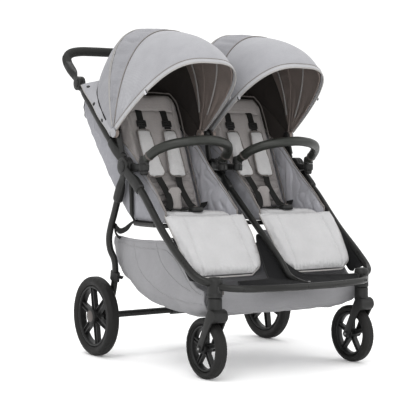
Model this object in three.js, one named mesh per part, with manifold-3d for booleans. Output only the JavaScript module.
// Twin side-by-side pushchair, modelled as an assembly of separate named pieces.
// Frame: millimetres, +Z up, +X to the occupant's left, -Y forwards. The group is shifted along Y so that
// the origin lies at the centre of the footprint on the ground.
import * as THREE from 'three';
import { mergeVertices } from 'three/addons/utils/BufferGeometryUtils.js';
import Module from 'manifold-3d';

// ---------------------------------------------------------------- driving dimensions (mm)
const Y_SHIFT = -41.9;                     // moves the working frame so that the footprint is centred
const SIDE_X = 350;                      // centre plane of the side tubes
const SEAT_X = 182.4;                    // centre of each seat
const HUB_Y = 87, HUB_Z = 642;           // main folding hub
const HUB_R = 30, PIN_R = 6, GAP = 0.35; // hub disc radius, pin radius, working gap
const TUBE_UP = 41.7, TUBE_FRONT = 218.6, TUBE_REAR = 296; // tube directions about the hub, degrees from +Y
const HANDLE_Y = 407, HANDLE_Z = 929;    // handlebar joint
const REAR_Y = 276, REAR_R = 134, REAR_W = 42, REAR_X = 359;   // rear wheels
const FRONT_Y = -294, FRONT_R = 93, FRONT_W = 38, CASTER_X = 288.6, CASTER_Y = -339; // front wheels
const CAN_Y = 140, CAN_Z = 752;          // canopy pivot
const CAN_T = 2.4;                       // canopy cloth thickness in this model
const BACK_Y = 75, BACK_Z = 492, BACK_DEG = 67.8;              // backrest hinge and angle
const LEG_Y = -128, LEG_Z = 470;         // legrest hinge

const wasm = await Module();
wasm.setup();
const V = (x, y, z) => new THREE.Vector3(x, y, z);
const rad = d => d * Math.PI / 180;
const dirYZ = (deg, r = 1) => V(0, Math.cos(rad(deg)) * r, Math.sin(rad(deg)) * r);
const lerp = (a, b, t) => a + (b - a) * t;
// piecewise-linear table lookup
function table(rows, t) {
  if (t <= rows[0][0]) return rows[0][1];
  for (let i = 1; i < rows.length; i++) if (t <= rows[i][0]) {
    const f = (t - rows[i - 1][0]) / (rows[i][0] - rows[i - 1][0]);
    return lerp(rows[i - 1][1], rows[i][1], f);
  }
  return rows[rows.length - 1][1];
}

// ---------------------------------------------------------------- mesh helpers
function fromArrays(pos, idx) {
  let g = new THREE.BufferGeometry();
  g.setAttribute('position', new THREE.Float32BufferAttribute(pos, 3));
  g.setIndex(idx);
  return outward(g);
}
function volume(g) {
  const p = g.attributes.position, ix = g.index.array;
  let v = 0;
  const a = V(), b = V(), c = V();
  for (let i = 0; i < ix.length; i += 3) {
    a.fromBufferAttribute(p, ix[i]); b.fromBufferAttribute(p, ix[i + 1]); c.fromBufferAttribute(p, ix[i + 2]);
    v += a.dot(b.clone().cross(c));
  }
  return v / 6;
}
function flip(g) {
  const ix = Array.from(g.index.array);
  for (let i = 0; i < ix.length; i += 3) { const t = ix[i]; ix[i] = ix[i + 1]; ix[i + 1] = t; }
  g.setIndex(ix);
  return g;
}
function outward(g) { return volume(g) < 0 ? flip(g) : g; }
function clean(g) {
  g = g.clone();
  if (g.index === null) g.setIndex([...Array(g.attributes.position.count).keys()]);
  for (const k of Object.keys(g.attributes)) if (k !== 'position') g.deleteAttribute(k);
  g = mergeVertices(g, 1e-4);
  const ix = g.index.array, out = [];
  for (let i = 0; i < ix.length; i += 3) if (ix[i] !== ix[i + 1] && ix[i + 1] !== ix[i + 2] && ix[i] !== ix[i + 2]) out.push(ix[i], ix[i + 1], ix[i + 2]);
  g.setIndex(out);
  return outward(g);
}
function solid(g) {
  g = clean(g);
  return new wasm.Manifold(new wasm.Mesh({ numProp: 3, vertProperties: new Float32Array(g.attributes.position.array), triVerts: new Uint32Array(g.index.array) }));
}
function geom(m) {
  const me = m.getMesh();
  const g = new THREE.BufferGeometry();
  g.setAttribute('position', new THREE.BufferAttribute(new Float32Array(me.vertProperties), 3));
  g.setIndex(new THREE.BufferAttribute(new Uint32Array(me.triVerts), 1));
  return g;
}
function join(...gs) { let m = solid(gs[0]); for (const g of gs.slice(1)) m = m.add(solid(g)); return geom(m); }
function cut(g, ...tools) { let m = solid(g); for (const t of tools) m = m.subtract(solid(t)); return geom(m); }
function mirrorX(g) {
  g = clean(g);
  const p = g.attributes.position;
  for (let i = 0; i < p.count; i++) p.setX(i, -p.getX(i));
  return flip(g);
}
function moved(g, x, y, z) { g = g.clone(); g.translate(x, y, z); return g; }

// skin over a list of closed rings, capped at both ends
function loft(rings, closed = false) {
  const n = rings[0].length, pos = [], idx = [];
  for (const r of rings) for (const p of r) pos.push(p.x, p.y, p.z);
  const m = rings.length, last = closed ? m : m - 1;
  for (let i = 0; i < last; i++) for (let j = 0; j < n; j++) {
    const a = i * n + j, b = i * n + (j + 1) % n, c = ((i + 1) % m) * n + j, d = ((i + 1) % m) * n + (j + 1) % n;
    idx.push(a, b, c, b, d, c);
  }
  if (!closed) for (const [row, s] of [[0, 1], [m - 1, -1]]) {
    const c = V(); for (const p of rings[row]) c.add(p); c.multiplyScalar(1 / n);
    const k = pos.length / 3; pos.push(c.x, c.y, c.z);
    for (let j = 0; j < n; j++) { const a = row * n + j, b = row * n + (j + 1) % n; s > 0 ? idx.push(k, b, a) : idx.push(k, a, b); }
  }
  return fromArrays(pos, idx);
}
// sections along a smooth path; size(t) gives [half-width across, half-height], n sides; ref keeps the section upright
function sweep(points, size, { n = 10, steps = 16, ref = V(1, 0, 0), power = 2, tension = 0.5, hollow = 0, closedPath = false, from = 0, to = null } = {}) {
  const curve = points.getPointAt ? points : new THREE.CatmullRomCurve3(points, closedPath, 'centripetal', tension);
  const rings = [], inner = [];
  for (let i = from; i <= (to ?? (closedPath ? steps - 1 : steps)); i++) {
    const t = i / steps, c = curve.getPointAt(t), tan = curve.getTangentAt(t);
    let a = ref.clone().addScaledVector(tan, -ref.dot(tan)).normalize();
    const b = tan.clone().cross(a).normalize();
    const s = typeof size === 'function' ? size(t) : size;
    const ring = [], ring2 = [];
    for (let j = 0; j < n; j++) {
      const f = (j + 0.5) / n * 2 * Math.PI, cs = Math.cos(f), sn = Math.sin(f);
      const ca = Math.sign(cs) * Math.abs(cs) ** (2 / power), sa = Math.sign(sn) * Math.abs(sn) ** (2 / power);
      const k = 1 / Math.cos(Math.PI / n) ** (power === 2 ? 1 : 0);
      ring.push(c.clone().addScaledVector(a, ca * s[0] * k).addScaledVector(b, sa * s[1] * k));
      if (hollow) ring2.push(c.clone().addScaledVector(a, ca * (s[0] - hollow) * k).addScaledVector(b, sa * (s[1] - hollow) * k));
    }
    rings.push(ring); inner.push(ring2);
  }
  if (!hollow) return loft(rings, closedPath);
  return loft([...rings, ...inner.reverse()], true);   // a sleeve: out along the outside, back along the inside
}
// path through points with rounded corners of radius r
function rounded(points, r) {
  const path = new THREE.CurvePath();
  let from = points[0];
  for (let i = 1; i < points.length - 1; i++) {
    const p = points[i], a = points[i - 1].clone().sub(p), b = points[i + 1].clone().sub(p);
    const d = Math.min(r, a.length() * 0.45, b.length() * 0.45);
    const s = p.clone().addScaledVector(a.normalize(), d), e = p.clone().addScaledVector(b.normalize(), d);
    path.add(new THREE.LineCurve3(from, s)); path.add(new THREE.QuadraticBezierCurve3(s, p, e));
    from = e;
  }
  path.add(new THREE.LineCurve3(from, points[points.length - 1]));
  return path;
}
// cylinder along X between x0 and x1
function cylX(y, z, r, x0, x1, n = 24, r2 = r) {
  n = Math.max(8, Math.round(n * 0.62));
  const g = new THREE.CylinderGeometry(r2, r, Math.abs(x1 - x0), n);
  g.rotateZ(-Math.PI / 2);
  return moved(g, (x0 + x1) / 2, y, z);
}
function cylZ(x, y, r, z0, z1, n = 20, r2 = r) {
  n = Math.max(8, Math.round(n * 0.62));
  const g = new THREE.CylinderGeometry(r2, r, z1 - z0, n);
  g.rotateX(Math.PI / 2);
  return moved(g, x, y, (z0 + z1) / 2);
}
function box(x0, x1, y0, y1, z0, z1) { return moved(new THREE.BoxGeometry(x1 - x0, y1 - y0, z1 - z0), (x0 + x1) / 2, (y0 + y1) / 2, (z0 + z1) / 2); }
// flat bar in the YZ plane between two points, round ends, x0..x1 thick
function barYZ(y0, z0, r0, y1, z1, r1, x0, x1, n = 4) {
  const sh = new THREE.Shape(), a = Math.atan2(z1 - z0, y1 - y0), pts = [];
  for (let i = 0; i <= n; i++) { const f = a + Math.PI / 2 + Math.PI * i / n; pts.push([y0 + r0 * Math.cos(f), z0 + r0 * Math.sin(f)]); }
  for (let i = 0; i <= n; i++) { const f = a - Math.PI / 2 + Math.PI * i / n; pts.push([y1 + r1 * Math.cos(f), z1 + r1 * Math.sin(f)]); }
  pts.forEach((p, i) => i ? sh.lineTo(p[0], p[1]) : sh.moveTo(p[0], p[1]));
  const g = new THREE.ExtrudeGeometry(sh, { depth: x1 - x0, bevelEnabled: false, steps: 1 });
  // shape x -> Y, shape y -> Z, depth -> X
  g.applyMatrix4(new THREE.Matrix4().set(0, 0, 1, x0, 1, 0, 0, 0, 0, 1, 0, 0, 0, 0, 0, 1));
  return g;
}

// ---------------------------------------------------------------- scene
const root = new THREE.Group();
const model = new THREE.Group();
model.position.y = Y_SHIFT;
root.add(model);
const mat = {
  frame: [0x343432, 0.45, 0.35], plastic: [0x242424, 0.6, 0.0], grip: [0x2b2c2a, 0.85, 0.0], tyre: [0x2a2a28, 0.9, 0.0], rim: [0x1c1c1c, 0.5, 0.0],
  cap: [0x78706c, 0.5, 0.1], cloth: [0xb4b4b6, 0.95, 0.0], clothdark: [0x9a9a9d, 0.95, 0.0], pad: [0x9a928c, 0.95, 0.0], padlight: [0xcccccc, 0.95, 0.0],
  mesh: [0x262628, 0.9, 0.0], button: [0x5a5a58, 0.55, 0.0], steel: [0x8a8a8a, 0.35, 0.9],
};
function add(name, g, kind) {
  const [color, roughness, metalness] = mat[kind];
  g = clean(g);
  g.computeVertexNormals();
  const mesh = new THREE.Mesh(g, new THREE.MeshStandardMaterial({ color, roughness, metalness, flatShading: true }));
  mesh.name = name;
  model.add(mesh);
}
function both(name, g, kind) { add(name + '_left', g, kind); add(name + '_right', mirrorX(g), kind); }   // left = -X

// ---------------------------------------------------------------- hubs, upper tubes
const L1 = [-365.5, -356.0], L2 = [-355.6, -346.2], L3 = [-345.8, -336.0];  // X layers at the hub: front leg, rear leg, seat frame
const hubPt = (deg, r, x = -SIDE_X) => V(x, HUB_Y, HUB_Z).add(dirYZ(deg, r));
{
  // seat-side hub: inner disc, pivot pin, bumper adapter arm
  const disc = cylX(HUB_Y, HUB_Z, HUB_R, L3[0], L3[1], 28);
  const pin = cylX(HUB_Y, HUB_Z, PIN_R, -367, L3[1] - 1, 16);
  const head = cylX(HUB_Y, HUB_Z, 11, -369.5, -366, 16);
  const arm = sweep([V(-340.5, 70, 640), V(-338, 45, 638), V(-336, 20, 639)], t => [lerp(4.6, 10.5, t ** 1.5), lerp(17, 10, t)], { n: 8, steps: 4, power: 3 });
  const post = cylZ(-334.4, -4, 16.5, 628, 649.6, 22);
  const armEnd = sweep([V(-336, 22, 639), V(-334.4, -4, 639)], [10.5, 10], { n: 8, steps: 1, power: 3 });
  both('hub', join(disc, pin, head, arm, armEnd, post), 'plastic');
}
{
  // upper side tube, from the hub's inner disc up to the handlebar joint
  const p = [hubPt(TUBE_UP, 31.2, -341), hubPt(TUBE_UP, 52, -346), hubPt(TUBE_UP, 80), hubPt(TUBE_UP, 390), V(-350, HANDLE_Y, HANDLE_Z).add(dirYZ(TUBE_UP, -27)), V(-344, HANDLE_Y, HANDLE_Z).add(dirYZ(TUBE_UP, -16))];
  const tube = sweep(new THREE.CatmullRomCurve3(p, false, 'centripetal'), t => {
    const s = t * 424;
    return [table([[0, 4.6], [22, 8], [50, 11.5], [380, 11.5], [404, 9], [420, 5.4]], s), table([[0, 20], [22, 19], [60, 16.5], [95, 16], [98, 12.8], [424, 12.8]], s)];
  }, { n: 8, steps: 12, power: 2.3 });
  const disc = cylX(HANDLE_Y, HANDLE_Z, 24, -349.6, -338.4, 24);
  const keep = cylX(HANDLE_Y, HANDLE_Z, 25.4, -370, -349.3, 24);
  const hubClear = cylX(HUB_Y, HUB_Z, HUB_R + GAP, -372, -330, 28);
  // outer canopy mount, clamped on the tube
  const arm = sweep([V(-348, 124, 684), V(-347, 130, 716), V(-347, CAN_Y, CAN_Z)], t => [lerp(7, 3.6, t), lerp(18, 13, t)], { n: 8, steps: 3, power: 3 });
  const canPin = cylX(CAN_Y, CAN_Z, 4, -363.8, -346, 12);
  both('upper_tube', cut(join(cut(tube, keep), disc, arm, canPin), hubClear), 'frame');
}
// ---------------------------------------------------------------- front frame
{
  const p = [hubPt(TUBE_FRONT, 20, -360.7), hubPt(TUBE_FRONT, 48, -359), hubPt(TUBE_FRONT, 76, -352), hubPt(TUBE_FRONT, 118), hubPt(TUBE_FRONT, 150), V(-350, -149, 435), V(-346, -256, 352), V(-336, -312, 312), V(-318, -336, 299), V(-296, -340, 295)];
  const c = new THREE.CatmullRomCurve3(p, false, 'centripetal');
  const L = c.getLength();
  const leg = sweep(c, t => {
    const s = t * L + 20;
    return [table([[20, 4.6], [50, 5.2], [76, 11.5], [118, 12.5], [121, 12.5], [124, 10.5], [600, 10.5]], s), table([[20, 14], [50, 14.5], [76, 19.5], [118, 19], [121, 18.5], [124, 12.6], [600, 12.6]], s)];
  }, { n: 8, steps: 18, power: 2.3 });
  const disc = cylX(HUB_Y, HUB_Z, HUB_R, L1[0], L1[1], 28);
  const hole = cylX(HUB_Y, HUB_Z, PIN_R + GAP, -380, -330, 16);
  const others = cylX(HUB_Y, HUB_Z, 49, -355.8, -330, 28);
  const socket = cylZ(-CASTER_X, CASTER_Y, 23.35, 240, 320, 24);
  both('front_leg', cut(join(disc, cut(leg, others, socket)), hole), 'frame');

  // swivel socket at the front corner
  const dome = new THREE.LatheGeometry([[0, -3], [22.9, -3], [22.9, 0], [21, 4], [15, 7.5], [0, 9]].map(q => new THREE.Vector2(...q)), 15);
  dome.rotateX(Math.PI / 2);
  const sock = join(cylZ(-CASTER_X, CASTER_Y, 23, 250.4, 303, 24), moved(dome, -CASTER_X, CASTER_Y, 302));
  both('caster_socket', sock, 'plastic');

  // front crossbar, bowed forwards
  const half = [V(-282, -350, 284), V(-262, -386, 281), V(-225, -414, 279.5), V(-160, -435, 279), V(-80, -446, 278.5)];
  const pts = [...half, V(0, -449, 278.5), ...half.slice().reverse().map(v => V(-v.x, v.y, v.z))];
  const bar = sweep(pts, [10.5, 11.5], { n: 8, steps: 16, power: 2.6, ref: V(0, 0.25, 1) });
  add('front_crossbar', cut(bar, socket, mirrorX(socket)), 'frame');
}
// ---------------------------------------------------------------- centre strut and centre bracket
{
  const disc = cylX(HUB_Y, HUB_Z, 24, -5, 5, 24);
  const p = [hubPt(TUBE_FRONT, 10, 0), hubPt(TUBE_FRONT, 70, 0), hubPt(TUBE_FRONT, 300, 0), hubPt(TUBE_FRONT, 470, 0), V(0, -330, 300), V(0, -390, 283), V(0, -436, 278.5)];
  const c = new THREE.CatmullRomCurve3(p, false, 'centripetal'), L = c.getLength();
  const strut = sweep(c, t => [table([[0, 4.8], [45, 4.8], [60, 8.5], [700, 8.5]], t * L), table([[0, 14], [60, 13], [90, 10.5], [700, 10.5]], t * L)], { n: 8, steps: 12, power: 2.4 });
  const hole = cylX(HUB_Y, HUB_Z, PIN_R + GAP, -20, 20, 16);
  const bowCut = sweep([V(-80, -446, 278.5), V(0, -449, 278.5), V(80, -446, 278.5)], [10.9, 11.9], { n: 8, steps: 4, power: 2.6, ref: V(0, 0.25, 1) });
  add('center_strut', cut(join(disc, strut), hole, bowCut), 'frame');

  const cheek = s => cylX(HUB_Y, HUB_Z, 27, s * 5.4, s * 12, 24);
  const pin = cylX(HUB_Y, HUB_Z, PIN_R, -12, 12, 16);
  const back = box(-12, 12, HUB_Y + 25.2, HUB_Y + 40, HUB_Z - 14, HUB_Z + 22);
  const side = s => join(box(Math.min(s * 5.4, s * 12), Math.max(s * 5.4, s * 12), HUB_Y, HUB_Y + 30, HUB_Z - 14, HUB_Z + 22),
    sweep([V(s * 13.6, 74, 641), V(s * 22, 40, 639), V(s * 30.4, 10, 639)], t => [lerp(8, 10, t), 10], { n: 8, steps: 4, power: 3 }),
    cylZ(s * 30.4, -4, 16.5, 628, 649.6, 22));
  const mast = sweep([V(0, HUB_Y + 32, HUB_Z + 10), V(0, 128, 690), V(0, CAN_Y, CAN_Z)], [6, 11], { n: 8, steps: 3, power: 3 });
  const canPin = cylX(CAN_Y, CAN_Z, 4, -31, 31, 12), canDisc = cylX(CAN_Y, CAN_Z, 12, -7, 7, 18);
  const pocket = s => box(s * 30.4 - 5.6, s * 30.4 + 5.6, -30, -14.6, 631.4, 644.6);
  add('center_bracket', cut(join(cheek(-1), cheek(1), pin, back, side(-1), side(1), mast, canPin, canDisc), pocket(-1), pocket(1)), 'plastic');
}
// ---------------------------------------------------------------- rear frame
{
  const p = [hubPt(TUBE_REAR, 20, -350.9), hubPt(TUBE_REAR, 48, -351), hubPt(TUBE_REAR, 78), hubPt(TUBE_REAR, 122), V(-350, 163, 486), V(-350, 187, 440), V(-349, 201, 400), V(-345, 200, 364), V(-335, 192, 332), V(-327, 198, 291), V(-323, 216, 238), V(-321, 240, 190), V(-321, 264, 150)];
  const c = new THREE.CatmullRomCurve3(p, false, 'centripetal'), L = c.getLength();
  const leg = sweep(c, t => {
    const s = t * L + 20;
    return [table([[20, 4.5], [50, 4.7], [78, 11.5], [122, 12.5], [125, 12.5], [128, 10], [430, 10], [470, 9], [700, 8.5]], s), table([[20, 14], [50, 14.5], [78, 19.5], [122, 19], [125, 18.5], [128, 11.5], [420, 11], [470, 16], [700, 20]], s)];
  }, { n: 8, steps: 20, power: 2.3 });
  const disc = cylX(HUB_Y, HUB_Z, HUB_R, L2[0], L2[1], 28);
  const hole = cylX(HUB_Y, HUB_Z, PIN_R + GAP, -380, -330, 16);
  const near1 = cylX(HUB_Y, HUB_Z, 49, -372, -355.8, 28), near2 = cylX(HUB_Y, HUB_Z, 49, -346, -330, 28);
  const foot = cylX(REAR_Y, REAR_R, 21, -329.5, -313, 22);
  const axle = cylX(REAR_Y, REAR_R, 6, -378, -320, 16);
  const face = cylX(REAR_Y, REAR_R, 134 + 3, -390, -334.6, 32);
  both('rear_leg', join(cut(join(disc, cut(leg, near1, near2, face)), hole), foot, axle), 'frame');
  add('rear_axle_bar', cylX(REAR_Y, REAR_R, 11, -312.6, 312.6, 16), 'frame');
  // brake pedal on a sleeve round the axle bar
  const sleeve = cut(cylX(REAR_Y, REAR_R, 16, -60, 60, 20), cylX(REAR_Y, REAR_R, 11.9, -70, 70, 20));
  const pedal = cut(sweep([V(0, REAR_Y + 10, REAR_R + 4), V(0, REAR_Y + 40, REAR_R + 16), V(0, REAR_Y + 66, REAR_R + 18)], t => [lerp(50, 42, t), lerp(7, 4.5, t)], { n: 12, steps: 5, power: 4 }), cylX(REAR_Y, REAR_R, 11.9, -70, 70, 20));
  add('brake_pedal', join(sleeve, pedal), 'plastic');
}
// ---------------------------------------------------------------- wheels
// ring of revolution about X; profile [x, r] listed round the section; a facet is centred at the bottom
function ringX(profile, segs, y, z, x, k = 1) {
  const pts = [...profile, profile[0]].map(([px, pr]) => new THREE.Vector2(pr * k, px));
  const g = new THREE.LatheGeometry(pts, segs, Math.PI / segs);
  g.rotateZ(-Math.PI / 2);
  // after the turn the lathe's axis lies on X; one facet faces straight down
  g.rotateX(Math.PI / 2);
  return moved(g, x, y, z);
}
function rim(R, lip, hubR, hubW, bore, width, spokes, y, z, x, segs) {
  const band = ringX([[-width / 2, R - lip], [-width / 2 + 3, R], [width / 2 - 3, R], [width / 2, R - lip], [width / 2 - 5, R - lip - 5], [-width / 2 + 5, R - lip - 5]], segs, y, z, x);
  let m = solid(band).add(solid(cylX(y, z, hubR, x - hubW / 2, x + hubW / 2, 22)));
  for (let i = 0; i < spokes; i++) {
    const a = (i / spokes) * 2 * Math.PI + 0.35, w0 = hubR * 0.55, w1 = 7.5;
    const s = new THREE.Shape(); s.moveTo(hubR * 0.5, -w0); s.lineTo(R - lip - 3, -w1); s.lineTo(R - lip - 3, w1); s.lineTo(hubR * 0.5, w0); s.closePath();
    const g = new THREE.ExtrudeGeometry(s, { depth: width * 0.42, bevelEnabled: false, steps: 1 });
    g.translate(0, 0, -width * 0.21); g.rotateZ(a);
    g.applyMatrix4(new THREE.Matrix4().set(0, 0, 1, x, 1, 0, 0, y, 0, 1, 0, z, 0, 0, 0, 1));
    m = m.add(solid(g));
  }
  return geom(m.subtract(solid(cylX(y, z, bore, x - 60, x + 60, 16))));
}
function tyreProfile(R, w, inner) {
  const h = w / 2;
  return [[-h * 0.6, R], [h * 0.6, R], [h, R - 8], [h * 0.7, inner], [-h * 0.7, inner], [-h, R - 8]];
}
both('rear_tyre', ringX(tyreProfile(REAR_R, REAR_W, 104), 28, REAR_Y, REAR_R, -REAR_X, 1 / Math.cos(Math.PI / 28)), 'tyre');
both('rear_rim', rim(103.4, 5, 26, 40, 6.35, 30, 6, REAR_Y, REAR_R, -REAR_X, 28), 'rim');
both('front_tyre', ringX(tyreProfile(FRONT_R, FRONT_W, 73), 24, FRONT_Y, FRONT_R, -CASTER_X, 1 / Math.cos(Math.PI / 24)), 'tyre');
both('front_rim', rim(72.5, 4, 17, 34, 5.35, 26, 5, FRONT_Y, FRONT_R, -CASTER_X, 24), 'rim');
{
  // caster fork: stem, crown, two arms and the axle bolt
  const x = -CASTER_X;
  const stem = cylZ(x, CASTER_Y, 22, 206, 250, 24, 22.6);
  const crown = cylX(-352, 196, 20.5, x - 28.5, x + 28.5, 20);
  const web = box(x - 17, x + 17, -362, CASTER_Y + 12, 196, 214);
  const arm = s => barYZ(-350, 195, 17, FRONT_Y, FRONT_R, 12.5, s < 0 ? x - 28.5 : x + 21.5, s < 0 ? x - 21.5 : x + 28.5);
  const bolt = cylX(FRONT_Y, FRONT_R, 5, x - 31, x + 31, 14);
  both('caster_fork', join(stem, crown, web, arm(-1), arm(1), bolt), 'plastic');
  // swivel lock slider on the inner side of the socket
  both('swivel_lock', box(x + 23.4, x + 30, CASTER_Y - 5, CASTER_Y + 5, 258, 272), 'button');
}
// ---------------------------------------------------------------- handlebar
{
  const hp = [V(-356.9, HANDLE_Y, HANDLE_Z).add(dirYZ(39, 12)), V(-354, HANDLE_Y, HANDLE_Z).add(dirYZ(39, 26)), V(-350, HANDLE_Y, HANDLE_Z).add(dirYZ(39, 48)), V(-349, 480, 987), V(-347.5, 503, 1007), V(-341, 520, 1027), V(-322, 528, 1043), V(-288, 527, 1051), V(-235, 524, 1053), V(-150, 521, 1053.5), V(-60, 519, 1054)];
  const pts = [...hp, ...hp.slice().reverse().map(v => V(-v.x, v.y, v.z))];
  const c = new THREE.CatmullRomCurve3(pts, false, 'centripetal'), L = c.getLength();
  const disc = cylX(HANDLE_Y, HANDLE_Z, 24, -362.8, -350, 24);
  const keepIn = cylX(HANDLE_Y, HANDLE_Z, 25.4, -349.8, -330, 24);
  const tube = sweep(c, t => { const s = Math.min(t, 1 - t) * L; return [11.3, table([[0, 5], [22, 5], [48, 11.3], [9999, 11.3]], s)]; }, { n: 8, steps: 30, ref: V(0, -0.6, 0.8) });
  const pocket = cylX(HANDLE_Y, HANDLE_Z, 17, -364, -355.8, 20);
  const m = cut(join(tube, disc, mirrorX(disc)), keepIn, mirrorX(keepIn), pocket, mirrorX(pocket));
  add('handlebar_tube', m, 'frame');
  // foam grip sleeve over the bar, on the same sections as the bar
  add('handlebar_grip', sweep(c, [16.4, 16.4], { n: 8, steps: 30, from: 3, to: 27, hollow: 3.5, ref: V(0, -0.6, 0.8) }), 'grip');
  both('handle_button', cylX(HANDLE_Y, HANDLE_Z, 14.5, -367, -359.4, 20, 16), 'button');
}
// ---------------------------------------------------------------- canopies
const CAN_IN = 165.5, CAN_OUT = 184.5;
// outer surface: angle th above the forward horizontal, s in [0,1] from the outer pivot over the top to the inner pivot
const apexU = th => table([[36, 372], [48, 370], [60, 360], [72, 349], [80, 345], [88, 349], [97, 358], [107, 373], [118, 366], [128, 348], [141, 318]], th);
const powN = th => table([[36, 3], [80, 2.3], [107, 2.15], [141, 2.6]], th);
function canopyPoint(th, s, inset = 0, u0 = 14) {
  const U = apexU(th) - inset, n = powN(th), m = 2.9;
  const f = (1 - Math.abs(2 * s - 1)); // 0 at the pivots, 1 at the apex
  const a = f * Math.PI / 2, side = s < 0.5 ? -1 : 1;
  let u = U * Math.sin(a) ** (2 / m), x = Math.abs(Math.cos(a)) ** (2 / n);
  u = Math.max(u, u0);
  const w0 = side < 0 ? CAN_OUT : CAN_IN;
  const w = lerp(w0, 175, Math.min(1, u / 260)) - inset;
  return V(-SEAT_X + side * x * w, CAN_Y - u * Math.cos(rad(th)), CAN_Z + u * Math.sin(rad(th)));
}
const STATIONS = [0.004, 0.03, ...Array.from({ length: 13 }, (_, j) => lerp(0.065, 0.935, j / 12)), 0.97, 0.996];
function canopySkin(th0, th1, steps, inset) {
  const grid = (ins) => Array.from({ length: steps + 1 }, (_, i) => STATIONS.map(s => canopyPoint(lerp(th0, th1, i / steps), s, ins)));
  return thick(grid(inset), grid(inset + CAN_T));
}
// closed solid between two grids of points
function thick(A, B) {
  const m = A.length, n = A[0].length, pos = [], idx = [];
  for (const G of [A, B]) for (const row of G) for (const p of row) pos.push(p.x, p.y, p.z);
  const o = m * n;
  const q = (a, b, c, d) => idx.push(a, b, c, b, d, c);
  for (let i = 0; i < m - 1; i++) for (let j = 0; j < n - 1; j++) {
    const a = i * n + j;
    q(a, a + 1, a + n, a + n + 1);
    q(o + a + 1, o + a, o + a + n + 1, o + a + n);
  }
  for (let j = 0; j < n - 1; j++) { q(o + j, o + j + 1, j, j + 1); const r = (m - 1) * n; q(r + j, r + j + 1, o + r + j, o + r + j + 1); }
  for (let i = 0; i < m - 1; i++) { q(i * n, (i + 1) * n, o + i * n, o + (i + 1) * n); const e = n - 1; q(o + i * n + e, o + (i + 1) * n + e, i * n + e, (i + 1) * n + e); }
  return fromArrays(pos, idx);
}
// round wire through given points, sections on the bisecting planes
function wire(pts, r, n) {
  const rings = pts.map((p, i) => {
    const a = pts[Math.max(0, i - 1)], b = pts[Math.min(pts.length - 1, i + 1)];
    const tan = b.clone().sub(a).normalize(), side = tan.clone().cross(wire.normal).normalize();
    return Array.from({ length: n }, (_, j) => {
      const f = (j + 0.5) / n * 2 * Math.PI;
      return p.clone().addScaledVector(side, Math.cos(f) * r).addScaledVector(wire.normal, Math.sin(f) * r);
    });
  });
  return loft(rings);
}
function bow(th, inset, layer) {
  // wire bow in the plane th: legs start beside the pivot pin in their own layer
  const lay = (side, u = 0) => lerp(side < 0 ? CAN_OUT : CAN_IN, 175, Math.min(1, u / 260)) - 5.7 - layer * 5.4;
  const at = (side, u, x) => V(-SEAT_X + side * x, CAN_Y - u * Math.cos(rad(th)), CAN_Z + u * Math.sin(rad(th)));
  const pts = [at(-1, 12, lay(-1)), at(-1, 45, lay(-1, 45))];
  for (const st of STATIONS) {
    const p = canopyPoint(th, st, inset, 16);
    const u = Math.hypot(p.y - CAN_Y, p.z - CAN_Z), side = p.x < -SEAT_X ? -1 : 1, x = Math.abs(p.x + SEAT_X);
    if (u < 60) continue;
    const k = Math.min(1, Math.max(0, 1 - (u - 60) / 130));
    pts.push(at(side, u, Math.min(x, lerp(x, lay(side, u), k))));
  }
  pts.push(at(1, 45, lay(1, 45)), at(1, 12, lay(1)));
  wire.normal = V(0, Math.sin(rad(th)), Math.cos(rad(th)));
  const eye = s => cylX(CAN_Y, CAN_Z, 16, -SEAT_X + s * lay(s) - 2.4, -SEAT_X + s * lay(s) + 2.4, 16);
  const hole = cylX(CAN_Y, CAN_Z, 4.5, -600, 200, 12);
  return cut(join(wire(pts, 2.9, 4), eye(-1), eye(1)), hole);
}
both('canopy_skin', canopySkin(36, 106, 7, 0), 'cloth');
both('canopy_rear', canopySkin(107, 140, 3, 0), 'cloth');
both('canopy_front_bow', bow(38.5, 6.2, 0), 'steel');
both('canopy_mid_bow', bow(80, 6.2, 1), 'steel');
// ---------------------------------------------------------------- bumper bars
for (const [nm, X] of [['left', -SEAT_X], ['right', SEAT_X]]) {
  const half = [V(-150, -8, 664), V(-146, -30, 677), V(-138, -56, 693), V(-126, -74, 702), V(-108, -94, 711), V(-80, -114, 718), V(-45, -129, 723)];
  const pts = [...half, V(0, -135, 726), ...half.slice().reverse().map(v => V(-v.x, v.y, v.z))].map(v => v.clone().add(V(X, 0, 0)));
  const bar = sweep(pts, t => { const k = Math.min(t, 1 - t); return [table([[0, 14], [0.05, 14], [0.07, 15.5], [1, 15.5]], k), table([[0, 14], [0.05, 14], [0.07, 15.5], [1, 15.5]], k)]; }, { n: 8, steps: 16, ref: V(0, 0, 1) });
  const k = s => cylZ(X + s * 152, -4, 16.2, 650, 674, 20, 15);
  add('bumper_bar_' + nm, cut(join(bar, k(-1), k(1)), box(X - 200, X + 200, -60, 60, 600, 649.95)), 'grip');
  const s = nm === 'left' ? 1 : -1;   // release button on the inner adapter
  add('bumper_button_' + nm, box(X + s * 152 - 5, X + s * 152 + 5, -24.8, -18.3, 632, 644), 'button');
}
// ---------------------------------------------------------------- seats
{
  // seat support loop under each cushion
  const a = -SEAT_X - 146, b = -SEAT_X + 146;
  const pts = [V(a, 92, 650), V(a, 90, 600), V(a, 84, 455), V(a, -90, 455), V(b, -90, 455), V(b, 84, 455), V(b, 90, 600), V(b, 92, 650)];
  both('seat_rail', sweep(rounded(pts, 34), [6.4, 6.4], { n: 6, steps: 24, ref: V(0.01, 0.4, 1) }), 'frame');
}
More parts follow.
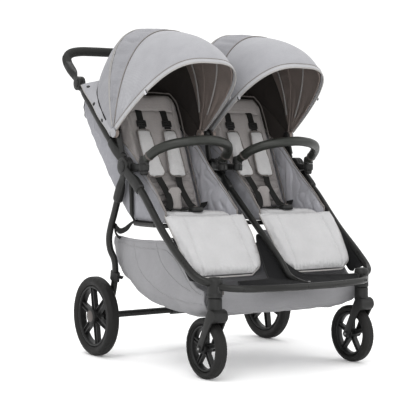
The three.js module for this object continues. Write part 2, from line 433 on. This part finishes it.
// crowned cushion: half sizes a, b and thickness t about a local frame (o origin, u across, v along, w up)
function cushion(o, u, v, w, halfA, len, t, { nu = 6, nv = 6, edge = 0.42, wAt = null, bulge = 1 } = {}) {
  const top = [], bot = [];
  for (let i = 0; i <= nv; i++) {
    const rt = [], rb = [], fv = i / nv;
    for (let j = 0; j <= nu; j++) {
      const fu = j / nu * 2 - 1;
      const a = (wAt ? wAt(fv) : halfA);
      const k = (1 - Math.abs(fu) ** 4) * (1 - Math.abs(2 * fv - 1) ** 6);
      const base = o.clone().addScaledVector(u, fu * a).addScaledVector(v, fv * len);
      const h = t * (edge + (1 - edge) * Math.sqrt(Math.max(0, k)) * bulge);
      rt.push(base.clone().addScaledVector(w, h)); rb.push(base);
    }
    top.push(rt); bot.push(rb);
  }
  return thick(top, bot);
}
{
  const X = -SEAT_X;
  both('seat_pad', cushion(V(X, 58, 467.2), V(1, 0, 0), V(0, -1, 0), V(0, 0, 1), 125.5, 160, 28, {}), 'padlight');
  // backrest pad: tapered and domed at the top
  const bd = dirYZ(BACK_DEG), bn = dirYZ(BACK_DEG + 90);
  const o = V(X, BACK_Y, BACK_Z).addScaledVector(bn, -36).addScaledVector(bd, 8);
  const wAt = f => table([[0, 131], [0.4, 131], [0.7, 129], [0.85, 128], [0.94, 122], [1, 102]], f);
  both('backrest', cushion(o, V(1, 0, 0), bd, bn, 140, 432, 36, { nv: 8, nu: 6, wAt, edge: 0.5 }), 'pad');
}
{
  // legrest: board with its pad, following a gently curved profile
  const X = -SEAT_X;
  const prof = [[-131, 496], [-160, 463], [-190, 428], [-218, 388], [-242, 355], [-258, 330], [-266, 306]];
  const wide = [150, 151, 150, 146, 140, 128, 96];
  const top = [], bot = [];
  prof.forEach(([y, z], i) => {
    const a = prof[Math.max(0, i - 1)], b = prof[Math.min(prof.length - 1, i + 1)];
    const tv = V(0, b[0] - a[0], b[1] - a[1]).normalize(), nrm = V(0, tv.z, -tv.y);  // points forwards and up
    if (nrm.z < 0) nrm.multiplyScalar(-1);
    const rt = [], rb = [];
    for (let j = 0; j <= 6; j++) {
      const f = j / 6 * 2 - 1, k = Math.sqrt(1 - Math.abs(f) ** 4 * 0.999);
      const c = V(X + f * wide[i], y, z);
      rt.push(c.clone().addScaledVector(nrm, -14 + 14 * k)); rb.push(c.clone().addScaledVector(nrm, -26));
    }
    top.push(rt); bot.push(rb);
  });
  both('legrest', thick(top, bot), 'padlight');
}
{
  // seat shell: cloth trough hung from the side tubes, carrying the cushions; inner and outer cheeks
  const X = -SEAT_X;
  const prof = [[-108, 463, 500], [-60, 463, 552], [0, 463, 602], [40, 463, 636], [68, 463, 660], [104, 463, 692], [145, 502, 724], [176, 540, 712], [207, 576, 736], [264, 640, 782], [320, 700, 830], [365, 764, 868], [398, 812, 890]]; // y, z of floor, z of cheek top
  const outer = [], inner = [];
  const T = 3;
  for (const [y, zf, zt] of prof) {
    const w = table([[-108, 136], [100, 138], [200, 148], [400, 150]], y), wt = table([[-108, 137], [-40, 134], [50, 134], [110, 140], [200, 149], [400, 151]], y);
    const half = [V(X - wt, y, zt), V(X - lerp(wt, w, 0.5), y, lerp(zt, zf, 0.45)), V(X - w, y, lerp(zt, zf, 0.9)), V(X - w + 9, y, zf + 1), V(X - 70, y, zf)];
    const ring = [...half, V(X, y, zf - 0.4), ...half.slice().reverse().map(p => V(2 * X - p.x, p.y, p.z))];
    outer.push(ring);
    inner.push(ring.map((p, i) => { const c = p.clone(); if (i <= 2) c.x += T; else if (i >= 8) c.x -= T; if (i >= 2 && i <= 8) { c.z += T; } return c; }));
  }
  both('seat_shell', thick(outer, inner), 'cloth');
}
// ---------------------------------------------------------------- harness buckles
{
  const X = -SEAT_X;
  const body = box(X - 22, X + 22, -92, -56, 496.2, 512);
  const pocket = cylZ(X, -74, 8.6, 502, 520, 18);
  const strap = box(X - 12, X + 12, -56.4, -10, 496.2, 498.6);
  both('harness_buckle', cut(join(body, strap), pocket), 'plastic');
  both('buckle_button', cylZ(X, -74, 8, 506.4, 514.5, 18), 'button');
}
// ---------------------------------------------------------------- footwell panel and basket
{
  // sheet between the crossbar and the centre strut, below the legrests
  const rows = [], under = y => HUB_Z + (y - HUB_Y) * Math.tan(rad(TUBE_FRONT - 180));   // height of the strut's axis
  for (let i = 0; i <= 5; i++) {
    const row = [];
    for (const x of [-232, -190, -150, -115, -85, -60, -38, -18, 0, 18, 38, 60, 85, 115, 150, 190, 232]) {
      const ridge = Math.exp(-((Math.abs(x) / 72) ** 2));
      const front = -449 + 62 * (Math.abs(x) / 262) ** 2.6 + 13.5, rear = lerp(-372 - 10 * (x / 240) ** 2, -212, ridge);
      const y = lerp(front, rear, i / 5), flat = lerp(286, 300, i / 5);
      row.push(V(x, y, Math.max(flat, lerp(flat, under(y) - 21, ridge))));
    }
    rows.push(row);
  }
  const low = rows.map(r => r.map(p => V(p.x, p.y, p.z - 3)));
  const strutCut = sweep([hubPt(TUBE_FRONT, 300, 0), hubPt(TUBE_FRONT, 470, 0), V(0, -330, 300), V(0, -390, 283), V(0, -440, 278.5)], [10, 13.5], { n: 8, steps: 12, power: 2.4 });
  add('footwell_panel', cut(thick(rows, low), strutCut), 'mesh');
}
{
  // cloth basket slung between the rear legs and the front corners: open trough
  const prof = [[-300, 196, 262, 300], [-262, 181, 275, 306], [-230, 178, 300, 309], [-200, 176, 335, 312], [-160, 177, 375, 315], [-120, 178, 400, 318], [-40, 184, 408, 321], [40, 193, 408, 322], [110, 212, 408, 318], [152, 240, 408, 314], [188, 250, 408, 310], [214, 266, 406, 307], [229, 292, 404, 305], [236, 322, 402, 304], [239, 350, 401, 304]]; // y, floor z, rim z, half width
  const O = [], I = [], T = 3;
  for (const [y, zf, zt, hw] of prof) {
    const h = zt - zf;
    const ring = [V(-hw, y, zt), V(-hw - 1, y, zf + h * 0.55), V(-hw + 12, y, zf + h * 0.22), V(-hw + 52, y, zf + 4), V(-hw * 0.5, y, zf), V(0, y, zf), V(hw * 0.5, y, zf), V(hw - 52, y, zf + 4), V(hw - 12, y, zf + h * 0.22), V(hw + 1, y, zf + h * 0.55), V(hw, y, zt)];
    O.push(ring);
    I.push(ring.map((p, i) => { const c = p.clone(); if (i <= 2) c.x += T; else if (i >= 8) c.x -= T; if (i >= 2 && i <= 8) c.z += T; return c; }));
  }
  add('basket', thick(O, I), 'clothdark');
}

export default root;
